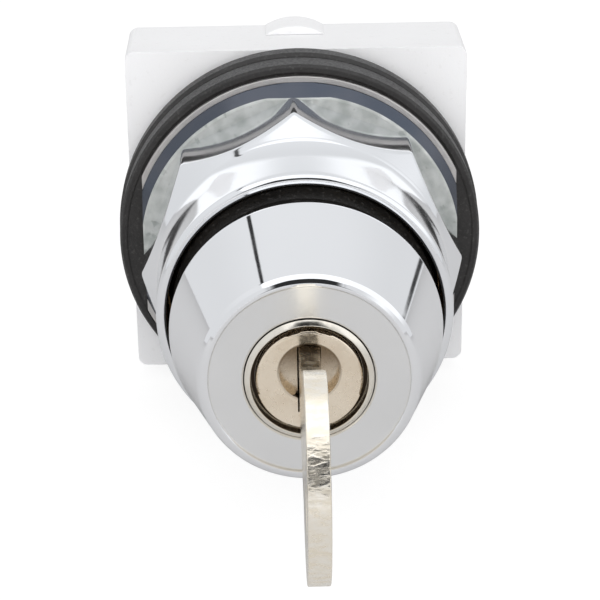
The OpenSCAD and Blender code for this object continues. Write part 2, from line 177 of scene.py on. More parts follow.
def fed(node, inputs):
    """Sets or links a node's inputs, given by name or number, to plain values or other nodes' outputs."""
    for label, value in inputs.items():
        socket = node.inputs[label]
        if isinstance(value, bpy.types.NodeSocket):
            node.id_data.links.new(value, socket)
        else:
            socket.default_value = (*value, 1.0) if socket.type == "RGBA" and len(value) == 3 else value
    return node


def add(tree, kind, inputs={}, **settings):
    """A new node of a tree, with its inputs and its properties set."""
    node = tree.nodes.new(kind)
    for label, value in settings.items():
        setattr(node, label, value)
    return fed(node, inputs)


def object_places(tree):
    """The object coordinates as one vector."""
    return add(tree, "ShaderNodeTexCoord").outputs["Object"]


def stretched_noise(tree, given, **inputs):
    """A noise texture on the object coordinates, with the group's own Stretch and Scale."""
    stretch = add(tree, "ShaderNodeVectorMath", {0: object_places(tree), 1: given.outputs["Stretch"]},
                  operation="MULTIPLY")
    return add(tree, "ShaderNodeTexNoise", {
        "Vector": stretch.outputs[0], "Scale": given.outputs["Scale"], **inputs}).outputs["Fac"]


def sums(tree, operation, *values, clamp=False):
    """A Math node fed by sockets or plain numbers; gives its output."""
    return add(tree, "ShaderNodeMath", dict(enumerate(values)),
               operation=operation, use_clamp=clamp).outputs[0]


def times(tree, *values):
    """The product of sockets or plain numbers."""
    total = values[0]
    for value in values[1:]:
        total = sums(tree, "MULTIPLY", total, value)
    return total


def ramp(tree, value, low, high, start=0.0, end=1.0):
    """Maps a value between two limits, smoothly and clamped; gives the output."""
    return add(tree, "ShaderNodeMapRange", dict(enumerate((value, low, high, start, end))),
               interpolation_type="SMOOTHSTEP").outputs[0]


grain, given, result = new_effect("surface_grain", {
    "Scale": 800.0, "Stretch": (1.0, 1.0, 1.0), "Detail": 4.0})
noise = stretched_noise(grain, given, Detail=given.outputs["Detail"])
fed(result, {"Mask": ramp(grain, noise, 0.3, 0.7)})

hairlines, given, result = new_effect(
    "hairlines", {"Scale": 90.0, "Stretch": (1.0, 1.0, 1.0), "Width": 0.012, "Amount": 0.5})
lines = stretched_noise(hairlines, given)
broken = add(hairlines, "ShaderNodeTexNoise", {"Vector": object_places(hairlines), "Scale": 170.0})
away = sums(hairlines, "ABSOLUTE", sums(hairlines, "SUBTRACT", lines, 0.5))
thin = ramp(hairlines, away, 0.0, given.outputs["Width"], 1.0, 0.0)
kept = ramp(hairlines, broken.outputs["Fac"], 0.52, 0.62)
fed(result, {"Mask": times(hairlines, thin, kept, given.outputs["Amount"])})


def effect(tree, group, **values):
    """Places a shader group in a material with its own values; gives its Mask output."""
    inputs = {label.capitalize(): value for label, value in values.items()}
    return add(tree, "ShaderNodeGroup", inputs, node_tree=group).outputs["Mask"]


def blended(tree, mask, first, second):
    """Mixes two colours, each a colour or a socket, by a mask; gives the colour output."""
    return add(tree, "ShaderNodeMix", {0: mask, 6: first, 7: second}, data_type="RGBA").outputs[2]


def surfaced(tree, height, strength, depth):
    """Feeds a height to the shader's normal as a bump of this depth in metres."""
    bump = add(tree, "ShaderNodeBump", {"Strength": strength, "Distance": depth, "Height": height})
    fed(tree.nodes["Principled BSDF"], {"Normal": bump.outputs["Normal"]})


def new_material(name):
    """A new material; gives it, its tree and its shader."""
    material = bpy.data.materials.new(name)
    material.use_nodes = True
    return material, material.node_tree, material.node_tree.nodes["Principled BSDF"]


def finish(name, colour, second, rough, metallic=0.0, scale=1500.0, stretch=(1.0, 1.0, 1.0), patches=120.0,
           bump=0.2, depth=0.00002, scratches=0.0):
    """A material whose colour drifts in patches and whose roughness and bump follow a fine grain."""
    material, tree, shader = new_material(name)
    fine = effect(tree, grain, scale=scale, stretch=stretch, detail=5.0)
    wide = effect(tree, grain, scale=patches, detail=3.0)
    height, roughness = fine, ramp(tree, fine, 0.0, 1.0, rough[0], rough[1])
    if scratches:
        marks = effect(tree, hairlines, amount=scratches, stretch=(1.0, 0.25, 1.0))
        roughness = sums(tree, "ADD", roughness, times(tree, marks, 0.25), clamp=True)
        height = sums(tree, "SUBTRACT", fine, marks)
    fed(shader, {"Metallic": metallic, "Roughness": roughness,
                 "Base Color": blended(tree, wide, colour, second)})
    surfaced(tree, height, bump, depth)
    return material


def fitted(piece, body, slot, *nodes):
    """The piece moves with a body and stands for these solids, which it hides; the slot argument is not used.
    """
    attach(piece, body)
    if nodes:
        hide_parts(*nodes)
    return piece


cast_zinc = finish("cast_zinc", (0.50, 0.48, 0.42), (0.62, 0.60, 0.54), (0.28, 0.45), metallic=1.0,
                   scale=2600.0, bump=0.35, depth=0.00003, scratches=0.5)
thread_root_r = 14.18
barrel = turned("barrel_body", [
    (12.4, -27.4), (thread_root_r - 0.4, -27.4), (thread_root_r, -27.0), (thread_root_r, -0.6),
    (14.9, -0.3), (14.9, 0), (15.1, 0), (15.1, 3.0), (15.4, 3.0), (15.4, 5.0), (18.0, 5.0), (18.0, 7.0),
    (6.0, 7.0), (6.0, -2.0), (12.4, -2.0)], corner=0.15)
barrel.data.materials.append(cast_zinc)
fitted(barrel, "operator", "cast_zinc", "barrel")


def grown(name, tree, **values):
    """Runs a Geometry Nodes tree with these inputs, and gives its result as a plain mesh piece."""
    piece = new_piece(name, bpy.data.meshes.new(name))
    maker = piece.modifiers.new(tree.name, "NODES")
    maker.node_group = tree
    for item in tree.interface.items_tree:
        label = item.name.lower().replace(" ", "_")
        if item.in_out == "INPUT" and label in values:
            maker[item.identifier] = values[label]
    return settled(piece)


def new_recipe(name, inputs):
    """An empty Geometry Nodes tree with named inputs and a geometry output."""
    tree = bpy.data.node_groups.new(name, "GeometryNodeTree")
    kinds = {float: "NodeSocketFloat", int: "NodeSocketInt", "object": "NodeSocketObject",
             "material": "NodeSocketMaterial"}
    for label, value in inputs.items():
        named = isinstance(value, str)
        kind = kinds[value if named else type(value)]
        socket = tree.interface.new_socket(label, in_out="INPUT", socket_type=kind)
        if not named:
            socket.default_value = value
    tree.interface.new_socket("Geometry", in_out="OUTPUT", socket_type="NodeSocketGeometry")
    return tree, tree.nodes.new("NodeGroupInput").outputs, tree.nodes.new("NodeGroupOutput")


def chained(tree, *steps):
    """Links the first output of each node to the named or first input of the next."""
    for before, after in zip(steps, steps[1:]):
        tree.links.new(before.outputs[0], after.inputs[0])


def realized(tree, given, result, copies):
    """Ends a recipe: real geometry instead of copies, painted with its Material."""
    painted = add(tree, "GeometryNodeSetMaterial", {"Material": given["Material"]})
    chained(tree, copies, add(tree, "GeometryNodeRealizeInstances"), painted, result)


def repeated_row(tree, given, result, shape):
    """Ends a recipe with a shape repeated Count times along Y at its Spacing."""
    spread = add(tree, "ShaderNodeCombineXYZ", {"Y": given["Spacing"]})
    row = add(tree, "GeometryNodeMeshLine", {"Count": given["Count"], "Offset": spread.outputs[0]})
    realized(tree, given, result, add(tree, "GeometryNodeInstanceOnPoints", {
        "Points": row.outputs[0], "Instance": shape.outputs[0]}))


# A wire wound into helices, side by side along Y: used for the threads and for every coil spring.
winding, given, result = new_recipe("winding", {
    "Radius": 0.01, "Wire": 0.0005, "Length": 0.01, "Turns": 8.0, "Sides": 8, "Count": 1, "Spacing": 0.0,
    "Material": "material"})
helix = add(winding, "GeometryNodeCurveSpiral", {
    "Resolution": 40, "Start Radius": given["Radius"], "End Radius": given["Radius"],
    "Height": given["Length"], "Rotations": given["Turns"]})
wire = add(winding, "GeometryNodeCurvePrimitiveCircle", {
    "Resolution": given["Sides"], "Radius": given["Wire"]})
swept = add(winding, "GeometryNodeCurveToMesh", {"Profile Curve": wire.outputs[0], "Fill Caps": True})
chained(winding, helix, add(winding, "GeometryNodeSetCurveNormal", mode="Z_UP"), swept)
repeated_row(winding, given, result, swept)
LENGTHWISE = Matrix.Rotation(math.radians(-90), 4, "X")

thread_pitch, thread_l = 1.5, 25.2
thread = grown("barrel_thread", winding, radius=thread_root_r * MM, wire=0.71 * MM, length=thread_l * MM,
               turns=thread_l / thread_pitch, sides=4, material=cast_zinc)
thread.data.transform(Matrix.Translation((0, -26.5 * MM, 0)) @ LENGTHWISE)
fitted(thread, "operator", "cast_zinc")


# ---- Shaft bush, seal and drive shaft ----
# A natural acetal bush pressed in the barrel's rear wall, a rubber ring in front of it, and the bright
# steel shaft that turns in both. A black spring clip behind the base keeps the shaft in place.

def smoothed(piece, crease):
    """Shades a piece smooth, with its edges sharp past an angle in degrees."""
    piece.data.shade_smooth()
    piece.data.set_sharp_from_angle(angle=math.radians(crease))
    return piece


def evened(piece):
    """Evens the shading of a piece round its small bevels."""
    piece.modifiers.new("even", "WEIGHTED_NORMAL").keep_sharp = True
    return settled(piece)


def cleaned(node, name, edge=0.08, sharp=32, segments=2):
    """A merged copy of a solid with its edges broken by a small bevel, in mm."""
    source = frame["nodes"][node]
    work = bmesh.new()
    work.from_mesh(source.data)
    bmesh.ops.remove_doubles(work, verts=work.verts, dist=2e-6)
    bmesh.ops.dissolve_limit(work, angle_limit=math.radians(0.6), verts=work.verts, edges=work.edges)
    mesh = bpy.data.meshes.new(name)
    work.to_mesh(mesh)
    work.free()
    mesh.materials.clear()
    piece = new_piece(name, mesh)
    if edge:
        bevel = piece.modifiers.new("edges", "BEVEL")
        bevel.width = edge * MM
        bevel.segments = segments
        bevel.limit_method = "ANGLE"
        bevel.angle_limit = math.radians(sharp)
        bevel.miter_outer = "MITER_ARC"
    return evened(smoothed(piece, sharp + 8))


def dressed(node, name, material, slot, edge=0.08, **settings):
    """A cleaned copy of one solid, painted, that stands for it and moves with its body."""
    piece = cleaned(node, name, edge, **settings)
    piece.data.materials.append(material)
    return fitted(piece, frame["nodes"][node]["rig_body"], slot, node)


natural_acetal = finish("natural_acetal", (0.80, 0.76, 0.64), (0.74, 0.69, 0.55), (0.38, 0.52), scale=1800.0,
                        bump=0.12)
bright_steel = finish("bright_steel", (0.66, 0.66, 0.66), (0.55, 0.55, 0.56), (0.16, 0.30), metallic=1.0,
                      scale=700.0, stretch=(4.0, 0.6, 4.0), bump=0.15, scratches=0.6)
black_clip = finish("black_clip", (0.035, 0.034, 0.033), (0.06, 0.058, 0.055), (0.30, 0.48), metallic=0.8,
                    bump=0.2, scratches=0.8)
seal_rubber = finish("seal_rubber", (0.016, 0.015, 0.015), (0.026, 0.025, 0.024), (0.42, 0.60), scale=2200.0,
                     bump=0.3)
dressed("shaft_bush", "shaft_bush_moulding", natural_acetal, "bush_plastic", edge=0.15)
dressed("drive_shaft", "drive_shaft_bar", bright_steel, "bright_steel", edge=0.12)
dressed("shaft_clip", "shaft_clip_ring", black_clip, "bright_steel", edge=0.06)
dressed("shaft_seal", "shaft_seal_ring", seal_rubber, "gasket_rubber", edge=0)


# ---- Selector cam and detent ----
# The cam is moulded in orange acetal with two helical ramps and three notches in its rim. A thin steel
# leaf, held between two steel pins, drops its nose in a notch at each key position.

orange_acetal = finish("orange_acetal", (0.72, 0.25, 0.035), (0.62, 0.19, 0.025), (0.34, 0.50), scale=1600.0,
                       bump=0.15)
dressed("selector_cam", "selector_cam_moulding", orange_acetal, "cam_plastic", edge=0.05, sharp=50)
dressed("detent_leaf", "detent_leaf_spring", bright_steel, "bright_steel", edge=0.05)
dressed("detent_pins", "detent_pins_pair", bright_steel, "bright_steel", edge=0.08)


# ---- Mounting base ----
# A square moulding of pale glass-filled plastic behind the panel, with a rounded lug on top that finds
# the notch in the panel. Its grey rear plate is held by four small slotted screws.

def skin_of(material):
    """A material's tree and the socket that feeds its base colour."""
    tree = material.node_tree
    return tree, tree.nodes["Principled BSDF"].inputs["Base Color"].links[0].from_socket


def recoloured(tree, mask, skin, colour):
    """Shows a colour instead of the skin where the mask is."""
    fed(tree.nodes["Principled BSDF"], {"Base Color": blended(tree, mask, skin, colour)})


def dusted(material, scale, start, amount, dust):
    """Specks of dust on a material, where a fine grain passes a start value."""
    tree, skin = skin_of(material)
    specks = ramp(tree, effect(tree, grain, scale=scale, detail=8.0), start, 1.0, 0.0, amount)
    recoloured(tree, specks, skin, dust)
    return material


def moulded(name, colour, second, dust=(0.55, 0.54, 0.52)):
    """Injection-moulded plastic: a spark-eroded skin, faint flow clouds and a little dust in the pores."""
    material = finish(name, colour, second, (0.40, 0.58), scale=5200.0, patches=55.0, bump=0.35,
                      depth=0.000012)
    return dusted(material, 1400.0, 0.90, 0.10, dust)


pale_plastic = moulded("pale_plastic", (0.87, 0.87, 0.88), (0.83, 0.83, 0.84))
grey_plastic = moulded("grey_plastic", (0.36, 0.37, 0.385), (0.31, 0.32, 0.335), dust=(0.6, 0.6, 0.58))
dressed("mounting_base", "mounting_base_moulding", pale_plastic, "pale_plastic", edge=0.25, segments=3)
dressed("locating_lug", "locating_lug_moulding", pale_plastic, "pale_plastic", edge=0.15)
dressed("base_plate", "base_plate_moulding", grey_plastic, "grey_plastic", edge=0.12)

zinc_plate = finish("zinc_plate", (0.60, 0.61, 0.60), (0.46, 0.47, 0.47), (0.22, 0.42), metallic=1.0,
                    scale=1900.0, patches=420.0, bump=0.25, scratches=0.5)

# Screws set on a list of places, each turned by its own random angle.
screw_set, given, result = new_recipe("screw_set", {
    "Screw": "object", "Spacing X": 0.02, "Spacing Z": 0.02, "Seed": 3, "Material": "material"})
places = add(screw_set, "GeometryNodeMeshGrid", {
    "Vertices X": 2, "Vertices Y": 2, "Size X": given["Spacing X"], "Size Y": given["Spacing Z"]})
pattern = add(screw_set, "GeometryNodeObjectInfo", {"Object": given["Screw"]}, transform_space="RELATIVE")
angle = add(screw_set, "FunctionNodeRandomValue", {3: math.pi, "Seed": given["Seed"]}, data_type="FLOAT")
about = add(screw_set, "ShaderNodeCombineXYZ", {"Z": angle.outputs[1]})
realized(screw_set, given, result, add(screw_set, "GeometryNodeInstanceOnPoints", {
    "Points": places.outputs["Mesh"], "Instance": pattern.outputs["Geometry"], "Rotation": about.outputs[0]}))


def cut(piece, *tools):
    """Cuts other pieces out of a piece and removes them."""
    for tool in tools:
        cutter = piece.modifiers.new("cut", "BOOLEAN")
        cutter.object = tool
        cutter.solver = "EXACT"
    settled(piece)
    for tool in tools:
        bpy.data.objects.remove(tool)
    return piece


def block(name, low, high):
    """A plain block between two corners, in mm, for cutting with."""
    work = bmesh.new()
    bmesh.ops.create_cube(work, size=1)
    for v in work.verts:
        v.co = Vector([(a if c < 0 else b) * MM for c, a, b in zip(v.co, low, high)])
    mesh = bpy.data.meshes.new(name)
    work.to_mesh(mesh)
    work.free()
    return new_piece(name, mesh)


def screws(name, rear, head_r, head_t, shank_r, shank_t, x, z, cross=False):
    """Four slotted screws at plus and minus x and z, heads to the rear at a place along Y. Sizes in mm."""
    tip = -head_t - shank_t
    slot_half, slot_floor, cross_reach = 0.28, -0.62 * head_t, 0.62 * head_r
    pattern = turned(name + "_pattern", [
        (0, 0), (head_r - 0.35, 0), (head_r, -0.4), (head_r, -head_t), (shank_r, -head_t),
        (shank_r, tip + 0.3), (shank_r - 0.3, tip), (0, tip)], corner=0.12, ring=False, steps=48)
    slots = [block("slot", (-head_r - 1, slot_floor, -slot_half), (head_r + 1, 1, slot_half))]
    if cross:
        slots.append(block("slot", (-slot_half, slot_floor, -cross_reach), (slot_half, 1, cross_reach)))
    cut(pattern, *slots)
    pattern.data.transform(LENGTHWISE.inverted())
    smoothed(pattern, 35)
    piece = grown(name, screw_set, screw=pattern, spacing_x=2 * x * MM, spacing_z=2 * z * MM,
                  material=zinc_plate)
    piece.data.transform(Matrix.Translation((0, rear * MM, 0)) @ LENGTHWISE)
    bpy.data.objects.remove(pattern)
    return piece


base_screws = screws("base_screws_set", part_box("base_screws")[1].y / MM, 1.55, 1.0, 1.12, 3.9, 16.4, 16.4)
fitted(base_screws, "operator", "zinc_plate", "base_screws")


# ---- Contact blocks ----
# Two pale housings stand behind the base, each with a grey cover. A red plunger comes through the front
# wall to the cam; it carries a brass bridge with silver tips that closes on two fixed strips.

red_plastic = moulded("red_plastic", (0.52, 0.035, 0.025), (0.44, 0.028, 0.02), dust=(0.45, 0.2, 0.18))


def object_axes(tree):
    """The object coordinates as three outputs, X, Y and Z."""
    return add(tree, "ShaderNodeSeparateXYZ", {0: object_places(tree)}).outputs


contact_brass = finish("contact_brass", (0.72, 0.50, 0.20), (0.58, 0.37, 0.13), (0.20, 0.36), metallic=1.0,
                       scale=900.0, stretch=(3.0, 3.0, 0.5), patches=350.0, bump=0.2, scratches=0.5)
# The contact tips lie between the bridge and the strips, so a band along Y finds them.
tip_band = (24.52, 27.04)
silver = (0.80, 0.80, 0.78)
tree, brass_colour = skin_of(contact_brass)
along = object_axes(tree)["Y"]
behind = sums(tree, "GREATER_THAN", along, tip_band[0] * MM)
before = sums(tree, "LESS_THAN", along, tip_band[1] * MM)
recoloured(tree, times(tree, behind, before), brass_colour, silver)

# Grip ribs: small moulded bars in a row, used on the outer side of each housing.
ribs, given, result = new_recipe("grip_ribs", {
    "Width": 0.0004, "Height": 0.0007, "Length": 0.014, "Count": 9, "Spacing": 0.0016,
    "Material": "material"})
bar = add(ribs, "GeometryNodeCurvePrimitiveCircle", {"Resolution": 12, "Radius": 0.5})
size = add(ribs, "ShaderNodeCombineXYZ", {"X": given["Width"], "Y": given["Height"], "Z": 1.0})
squeeze = add(ribs, "GeometryNodeTransform", {0: bar.outputs[0], "Scale": size.outputs[0]})
reach = add(ribs, "ShaderNodeCombineXYZ", {"Z": given["Length"]})
spine = add(ribs, "GeometryNodeCurvePrimitiveLine", {"End": reach.outputs[0]})
body = add(ribs, "GeometryNodeCurveToMesh", {
    "Curve": spine.outputs[0], "Profile Curve": squeeze.outputs[0], "Fill Caps": True})
repeated_row(ribs, given, result, body)


def coil(name, node, radius, wire, turns, x):
    """A coil spring along Y in the place of a solid, sizes in mm; gives it and the solid's box."""
    low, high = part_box(node)
    spring = grown(name, winding, radius=radius * MM, wire=wire * MM, length=high.y - low.y - 2 * wire * MM,
                   turns=turns, sides=10, material=bright_steel)
    spring.data.transform(Matrix.Translation((x * MM, low.y + wire * MM, 0)) @ LENGTHWISE)
    spring.data.shade_smooth()
    return spring, low, high


plunger_x, rib_length = 10.3, 14.0
for side, hand in ((-1, "left"), (1, "right")):
    housing = cleaned(f"{hand}_housing", f"{hand}_housing_moulding", 0.25, segments=3)
    housing.data.materials.append(pale_plastic)
    fitted(housing, "operator", "pale_plastic", f"{hand}_housing")
    low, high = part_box(f"{hand}_housing")
    wall = high.x if side > 0 else low.x
    grip = grown(f"{hand}_grip_ribs", ribs, width=0.7 * MM, height=0.8 * MM, length=rib_length * MM, count=9,
                 spacing=1.7 * MM, material=pale_plastic)
    grip.data.transform(Matrix.Translation((wall, low.y + 6 * MM, -rib_length / 2 * MM)))
    fitted(smoothed(grip, 40), "operator", "pale_plastic")
    for part, made, material, slot, edge in (
            ("cover", "cover_moulding", grey_plastic, "grey_plastic", 0.15),
            ("plunger", "plunger_moulding", red_plastic, "red_plastic", 0.08),
            ("bridge", "bridge_stamping", contact_brass, "contact_brass", 0.08),
            ("terminals", "terminal_strips", contact_brass, "contact_brass", 0.06),
            ("clamps", "clamp_plates", zinc_plate, "zinc_plate", 0.06)):
        dressed(f"{hand}_{part}", f"{hand}_{made}", material, slot, edge=edge)

    # The return spring stands between the plunger's collar and the cover; a small one pushes the bridge.
    back_spring, low, high = coil(f"{hand}_return_coil", f"{hand}_spring", 2.2, 0.28, 8.0, side * plunger_x)
    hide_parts(f"{hand}_spring")
    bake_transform(back_spring)
    bridge_spring = coil(f"{hand}_bridge_coil", f"{hand}_bridge_spring", 1.9, 0.25, 4.0, side * plunger_x)[0]
    fitted(bridge_spring, f"{hand}_plunger", "bright_steel", f"{hand}_bridge_spring")


for node, *sizes, cross in (("terminal_screws", 2.2, 2.0, 1.22, 6.2, 10.375, 7.6, True),
                            ("block_screws", 2.4, 1.75, 1.22, 31.5, 15.975, 5.2, False)):
    screw_row = screws(node + "_set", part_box(node)[1].y / MM, *sizes, cross=cross)
    fitted(screw_row, "operator", "zinc_plate", node)


# ---- Gaskets and washers ----
# Two black moulded rubber rings seal the panel's front. A thin steel washer lets the nut slip on them,
# and a thick trim washer with a dark passivated cone and a mottled zinc face sits under the nut.

def rubber(name, colour, second, rough, dust):
    """Moulded black rubber: dull, finely pitted, with pale dust caught here and there."""
    material = finish(name, colour, second, rough, scale=3200.0, patches=260.0, bump=0.55, depth=0.00003)
    return dusted(material, 2600.0, 0.84, dust, (0.30, 0.29, 0.28))


gasket_rubber = rubber("gasket_rubber", (0.0125, 0.0115, 0.011), (0.019, 0.0175, 0.017), (0.42, 0.58), 0.07)
gasket_r = 22.0
rear_gasket = turned("rear_gasket_ring", [
    (15.4, 0), (gasket_r - 0.35, 0), (gasket_r, -0.4), (gasket_r, -2.3), (gasket_r - 0.4, -2.88),
    (15.4, -2.88)], corner=0.3)
front_gasket = turned("front_gasket_ring", [
    (15.4, -2.92), (gasket_r - 0.75, -2.92), (gasket_r - 0.3, -3.35), (gasket_r - 0.25, -6.35),
    (gasket_r - 0.55, -6.87), (gasket_r - 1.1, -6.9), (gasket_r - 1.25, -6.78), (15.4, -6.78)], corner=0.25)
for piece, node in ((rear_gasket, "rear_gasket"), (front_gasket, "front_gasket")):
    piece.data.materials.append(gasket_rubber)
    fitted(piece, "clamp_stack", "gasket_rubber", node)


def flatted(piece, half):
    """Cuts the two side flats of a washer."""
    cut(piece, block("side", (half, -60, -30), (40, 20, 30)), block("side", (-40, -60, -30), (-half, 20, 30)))
    return smoothed(piece, 24)


washer_flat = 18.7
thrust_steel = finish("thrust_steel", (0.66, 0.64, 0.625), (0.58, 0.56, 0.55), (0.38, 0.48), metallic=1.0,
                      scale=1500.0, bump=0.05)
thrust_washer = turned("thrust_washer_ring", [
    (15.3, -6.9), (20.6, -6.9), (20.6, -7.6), (15.3, -7.6)], corner=0.18)
thrust_washer.data.materials.append(thrust_steel)
flatted(thrust_washer, washer_flat)
fitted(thrust_washer, "clamp_stack", "bright_steel", "thrust_washer")

# The cone of the trim washer: dark, glossy, slightly blue passivation.
blue_cone = finish("blue_cone", (0.074, 0.088, 0.115), (0.100, 0.108, 0.130), (0.16, 0.26), metallic=0.9,
                   scale=1200.0, patches=110.0, bump=0.05)

# Its face: spangled zinc, greyish with a green cast, with dark pits and paler crystals.
spangle, given, result = new_effect("zinc_spangle", {"Scale": 500.0, "Pits": 0.6})
place = object_places(spangle)
cells = add(spangle, "ShaderNodeTexVoronoi", {"Vector": place, "Scale": given.outputs["Scale"]})
clouds = add(spangle, "ShaderNodeTexNoise", {"Vector": place, "Scale": 420.0, "Detail": 7.0})
pits = add(spangle, "ShaderNodeTexNoise", {"Vector": place, "Scale": 900.0, "Detail": 3.0})
tone = times(spangle, ramp(spangle, cells.outputs["Distance"], 0.0, 0.8), 0.35)
cloudy = times(spangle, ramp(spangle, clouds.outputs["Fac"], 0.35, 0.65), 0.65)
tone = sums(spangle, "ADD", tone, cloudy)
dark = times(spangle, ramp(spangle, pits.outputs["Fac"], 0.62, 0.70), given.outputs["Pits"])
fed(result, {"Mask": sums(spangle, "SUBTRACT", tone, dark, clamp=True)})

spangled_zinc, tree, shader = new_material("spangled_zinc")
crystals = effect(tree, spangle, scale=700.0, pits=0.6)
fed(shader, {"Metallic": 0.55, "Roughness": ramp(tree, crystals, 0.0, 1.0, 0.55, 0.34),
             "Base Color": blended(tree, crystals, (0.37, 0.39, 0.375), (0.58, 0.595, 0.58))})
surfaced(tree, crystals, 0.4, 0.00005)

trim_washer = turned("trim_washer_ring", [
    (15.3, -7.62), (20.0, -7.62), (19.95, -7.85), (18.98, -9.52), (18.75, -9.7), (15.3, -9.7)], corner=0.2,
    paint=lambda r, y: 0 if (y < -9.5 and r < 19.0) else 1)
# A flat was pressed on the cone at the top, so the face ends in a short straight edge there.
flat_height, flat_slope, trim_front = 18.46, 0.72, -9.7
for v in trim_washer.data.vertices:
    v.co.z = min(v.co.z, (flat_height + flat_slope * (v.co.y / MM - trim_front)) * MM)
trim_washer.data.materials.append(spangled_zinc)
trim_washer.data.materials.append(blue_cone)
flatted(trim_washer, washer_flat)
fitted(trim_washer, "clamp_stack", "zinc_plate", "trim_washer")


# ---- Ring nut ----
# A polished chrome nut screws down on the washers: an octagon behind, turned to a smooth shoulder and a
# round collar in front with a rolled rim. Its bore is bare metal with a coarse thread.

def chromed(name, colour, rough):
    """Polished plating: nearly clean, with a faint orange peel and a few fine wiping marks."""
    return finish(name, colour, tuple(c * 0.975 for c in colour), rough, metallic=1.0, scale=260.0,
                  patches=40.0, bump=0.035, depth=0.00004)


chrome = chromed("chrome", (0.90, 0.905, 0.92), (0.03, 0.06))
nut_chrome = chromed("nut_chrome", (0.89, 0.90, 0.92), (0.07, 0.10))
bare_bore = finish("bare_bore", (0.42, 0.27, 0.13), (0.30, 0.19, 0.09), (0.25, 0.42), metallic=1.0,
                   bump=0.3)


def softer(a, b, softness):
    """The smaller of two lengths, with the crease between them rounded."""
    h = max(softness - abs(a - b), 0.0) / softness
    return min(a, b) - h * h * softness / 4


def outward(mesh, merge=0.0):
    """Turns a mesh's faces outwards, after merging its doubles within a distance."""
    work = bmesh.new()
    work.from_mesh(mesh)
    if merge:
        bmesh.ops.remove_doubles(work, verts=work.verts, dist=merge)
    bmesh.ops.recalc_face_normals(work, faces=work.faces)
    work.to_mesh(mesh)
    work.free()


nut_corner_r, nut_clock = 18.8, 2.0
nut_rear, nut_front, collar_r = -9.7, -30.5, 16.7
cone_y, crease_y = nut_rear - 5.7, nut_rear - 10.5
crease_r = collar_r + 0.2
flat_r = nut_corner_r * math.cos(math.radians(22.5))


def octagon(a):
    """Distance from the axis to the octagon at an angle clockwise from corner-up, corners eased."""
    a = (a + math.radians(22.5)) % math.radians(45) - math.radians(22.5)
    return softer(flat_r / math.cos(a + math.radians(22.5)), flat_r / math.cos(a - math.radians(22.5)), 0.30)


def stretch_of(start, end, parts):
    """Points from just after one outline point to another."""
    return [(start[0] + (end[0] - start[0]) * k / parts, start[1] + (end[1] - start[1]) * k / parts)
            for k in range(1, parts + 1)]


# The outline from the rear face forward. Where it passes between the flats and the corners it needs
# close rows, because the cone and the octagon cross there.
grow = (nut_corner_r - crease_r) / (cone_y - crease_y)
outer = [(nut_corner_r - 0.12, nut_rear)]
outer += stretch_of(outer[-1], (nut_corner_r + 0.3, nut_rear - 0.12), 3)
outer += stretch_of(outer[-1], (nut_corner_r + 0.3, cone_y + 0.3 / grow), 12)
outer += stretch_of(outer[-1], (crease_r + 0.25, crease_y + 0.25 / grow), 64)
outer += [(crease_r + out, crease_y + along) for out, along in (
    (0.07, 0.12), (0, -0.02), (-0.06, -0.28), (-0.17, -0.8), (-0.26, -1.4), (-0.33, -2.2), (-0.38, -3.2))]
outer += stretch_of(outer[-1], (collar_r - 0.25, nut_front + 1), 8)
rim_out = 0.62
outer += [(collar_r - 0.25 - rim_out * (1 - math.cos(math.radians(a))),
           nut_front + 1 - 0.8 * math.sin(math.radians(a))) for a in range(10, 91, 8)]
lip_r = outer[-1][0]
outer += [(lip_r - 0.25, nut_front + 0.2), (15.45, nut_front + 0.22)]
bore_r = 15.3
inner = [(bore_r, y) for y in (nut_front + 0.4, nut_front + 3, nut_rear - 1.2, nut_rear - 0.05)]
inner += [(bore_r + 0.1, nut_rear)]

# The columns crowd towards the corners of the octagon.
columns, per_side, crowding = [], 44, 1.7
for corner in range(8):
    for k in range(per_side):
        t = k / per_side * 2
        ease = t ** crowding / 2 if t < 1 else 1 - (2 - t) ** crowding / 2
        columns.append(math.radians(45 * (corner + ease)))
spots, faces, paints = [], [], []
for r, y in outer + inner:
    for a in columns:
        reach = softer(octagon(a), r, 0.12) if r > crease_r + 0.2 else min(r, octagon(a))
        turned_by = a - math.radians(nut_clock)
        spots.append((reach * math.sin(turned_by) * MM, y * MM, reach * math.cos(turned_by) * MM))
rows, wide = len(outer + inner), len(columns)
for i in range(rows):
    for j in range(wide):
        k, n = (j + 1) % wide, (i + 1) % rows
        faces.append((i * wide + j, i * wide + k, n * wide + k, n * wide + j))
        paints.append(1 if i >= len(outer) else 0)
mesh = bpy.data.meshes.new("ring_nut_casting")
mesh.from_pydata(spots, [], faces)
mesh.polygons.foreach_set("material_index", paints)
outward(mesh)
mesh.shade_smooth()
mesh.materials.append(nut_chrome)
mesh.materials.append(bare_bore)
ring_nut = new_piece("ring_nut_casting", mesh)
fitted(ring_nut, "ring_nut", "chrome_plate", "ring_nut")
nut_thread_l = 12.6
nut_thread = grown("ring_nut_thread", winding, radius=15.35 * MM, wire=0.36 * MM, length=nut_thread_l * MM,
                   turns=nut_thread_l / thread_pitch, sides=4, material=bare_bore)
nut_thread.data.transform(Matrix.Translation((0, (nut_rear - 1 - nut_thread_l) * MM, 0)) @ LENGTHWISE)
fitted(nut_thread, "ring_nut", "chrome_plate")


# ---- Dust seal and lock head ----
# A black rubber ring closes the gap between the barrel and the head. The head is a chromed cone on a
# neck that goes into the barrel, with a bright rolled rim and a satin front face.

seal_lip = rubber("seal_lip", (0.008, 0.0075, 0.007), (0.014, 0.013, 0.012), (0.42, 0.60), 0.1)
dust_seal = turned("dust_seal_ring", [
    (12.4, -27.4), (14.7, -27.4), (14.7, -28.8), (13.7, -30.0), (13.7, -32.4), (12.4, -32.4)], corner=0.25)
dust_seal.data.materials.append(seal_lip)
fitted(dust_seal, "operator", "gasket_rubber", "dust_seal")

